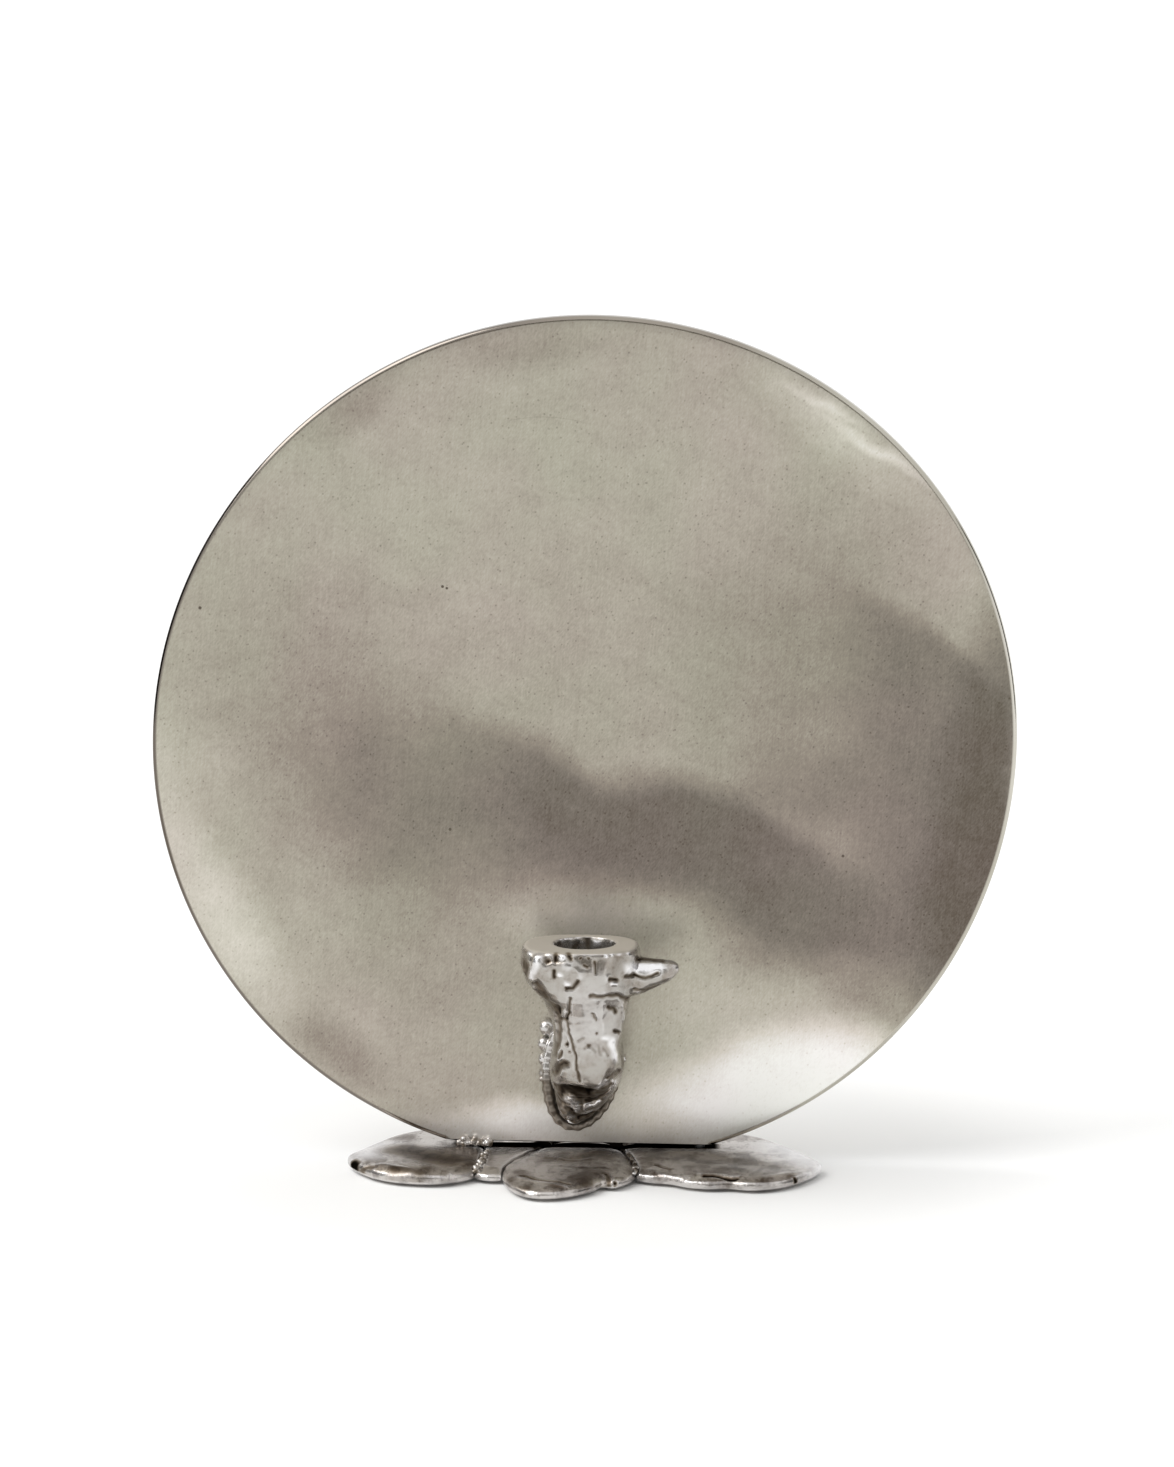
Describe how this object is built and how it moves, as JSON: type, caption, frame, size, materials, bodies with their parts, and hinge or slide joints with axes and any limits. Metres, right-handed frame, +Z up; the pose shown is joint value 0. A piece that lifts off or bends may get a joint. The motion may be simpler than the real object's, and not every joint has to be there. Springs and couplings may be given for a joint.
{
  "type": "candle holder with reflector disc",
  "caption": "Round metal reflector disc standing on a puddle-shaped base, with a lumpy cast arm in front holding one taper candle.",
  "frame": {"origin": "on the table, under the middle of the holder's outline", "axes": "+Z up; the disc's front and the candle arm face -Y; +X to the right seen from the front"},
  "size_m": [0.3208, 0.1375, 0.3179],
  "materials": {
    "satin_nickel": "satin",
    "polished_nickel": "polished",
    "braze": "gloss",
    "screw_steel": "satin",
    "felt": "matte"
  },
  "bodies": {
    "root": {"reflector_disc": "satin_nickel", "candle_arm": "polished_nickel", "base_front_pad": "polished_nickel", "base_left_pad": "polished_nickel", "base_right_pad": "polished_nickel", "base_left_bridge": "polished_nickel", "base_rear_pad": "polished_nickel", "arm_braze_bead": "braze", "foot_tack": "braze", "seam_bead_left": "braze", "seam_bead_right": "braze", "seam_bead_rear_left": "braze", "seam_bead_rear_right": "braze", "foot_screw_left": "screw_steel", "foot_screw_right": "screw_steel", "felt_pad_left_front": "felt", "felt_pad_left_rear": "felt", "felt_pad_right_front": "felt", "felt_pad_right_rear": "felt", "felt_pad_front": "felt", "felt_pad_rear": "felt"}
  },
  "joints": []
}
